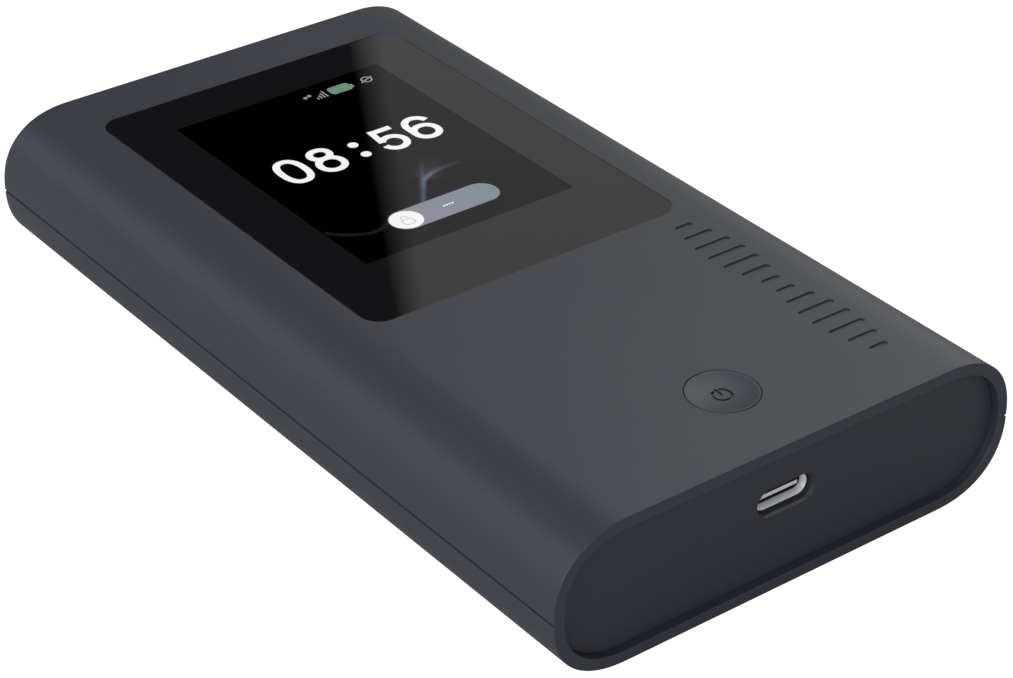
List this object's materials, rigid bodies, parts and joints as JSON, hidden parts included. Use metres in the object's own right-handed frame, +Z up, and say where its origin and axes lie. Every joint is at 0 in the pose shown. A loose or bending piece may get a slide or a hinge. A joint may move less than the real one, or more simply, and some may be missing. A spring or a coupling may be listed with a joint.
{
  "type": "mobile hotspot",
  "caption": "Pocket mobile hotspot with a grey bulged housing, black display window, dished round power button, USB-C port in a recessed end and a pull-out SIM tray.",
  "frame": {"origin": "centre of the footprint, on the face it rests on", "axes": "+X to the reader's right across the width, +Y along the length from the USB-C end to the SIM end, +Z up out of the display"},
  "size_m": [0.078, 0.1378, 0.0224],
  "materials": {
    "shell_plastic": "fine satin texture, mid grey",
    "cap_plastic": "fine matt texture, dark grey",
    "display_glass": "black printed border behind polished glass",
    "adhesive": "black foam tape",
    "clear_adhesive": "clear film",
    "lcd_glass": "dark display glass",
    "backlight_plastic": "white light guide",
    "sheet_steel": "thin tinned sheet",
    "flex_film": "amber film",
    "connector_plastic": "moulded ivory",
    "frame_plastic": "moulded black",
    "screw_steel": "zinc plated",
    "spreader_aluminium": "rolled sheet",
    "thermal_rubber": "soft gap pad",
    "chip_epoxy": "black epoxy",
    "board_laminate": "green solder mask",
    "usb_steel": "nickel plated, drawn",
    "usb_plastic": "moulded insert",
    "gold_contact": "gold plated",
    "button_plastic": "fine satin texture, mid grey",
    "switch_plastic": "moulded black",
    "tray_plastic": "fine matt texture, dark grey",
    "card_plastic": "white card",
    "pouch_foil": "laminated foil",
    "lead_red": "silicone sleeve",
    "lead_black": "silicone sleeve",
    "copper_foil": "copper foil on film",
    "plug_rubber": "soft plug",
    "label_film": "blank printed film"
  },
  "bodies": {
    "housing": {"top_shell": "shell_plastic", "bottom_shell": "shell_plastic", "front_cap": "cap_plastic", "rear_cap": "cap_plastic", "cover_glass": "display_glass", "glass_adhesive": "adhesive", "optical_adhesive": "clear_adhesive", "lcd_panel": "lcd_glass", "lcd_backlight": "backlight_plastic", "lcd_tray": "sheet_steel", "lcd_flex": "flex_film", "lcd_connector": "connector_plastic", "mid_frame": "frame_plastic", "frame_screws": "screw_steel", "heat_spreader": "spreader_aluminium", "thermal_pads": "thermal_rubber", "modem_shield": "sheet_steel", "radio_shield": "sheet_steel", "wifi_shield": "sheet_steel", "board_chips": "chip_epoxy", "main_board": "board_laminate", "usb_shell": "usb_steel", "usb_tongue": "usb_plastic", "usb_contacts": "gold_contact", "switch_body": "switch_plastic", "reset_switch": "switch_plastic", "sim_socket": "sheet_steel", "battery_pouch": "pouch_foil", "battery_board": "board_laminate", "battery_lead_positive": "lead_red", "battery_lead_negative": "lead_black", "battery_plug": "connector_plastic", "battery_socket": "connector_plastic", "battery_pad": "adhesive", "antenna_carrier_left": "frame_plastic", "antenna_carrier_right": "frame_plastic", "antenna_foil_left": "copper_foil", "antenna_foil_right": "copper_foil", "wifi_antennas": "copper_foil", "antenna_springs": "gold_contact", "case_screws": "screw_steel", "screw_plugs": "plug_rubber", "rating_label": "label_film"},
    "button": {"power_button": "button_plastic", "switch_plunger": "switch_plastic"},
    "reset_pin": {"reset_plunger": "connector_plastic"},
    "tray": {"sim_tray": "tray_plastic", "sim_card": "card_plastic"}
  },
  "joints": [
    {"name": "power_button_press", "type": "slide", "parent": "housing", "child": "button", "axis": [0, 0, -1], "range_m": [0, 0.0004], "stiffness_N_per_m": 4000},
    {"name": "reset_press", "type": "slide", "parent": "housing", "child": "reset_pin", "axis": [0, -1, 0], "range_m": [0, 0.0003], "stiffness_N_per_m": 4000},
    {"name": "sim_tray_slide", "type": "slide", "parent": "housing", "child": "tray", "axis": [0, 1, 0], "range_m": [0, 0.016]}
  ]
}
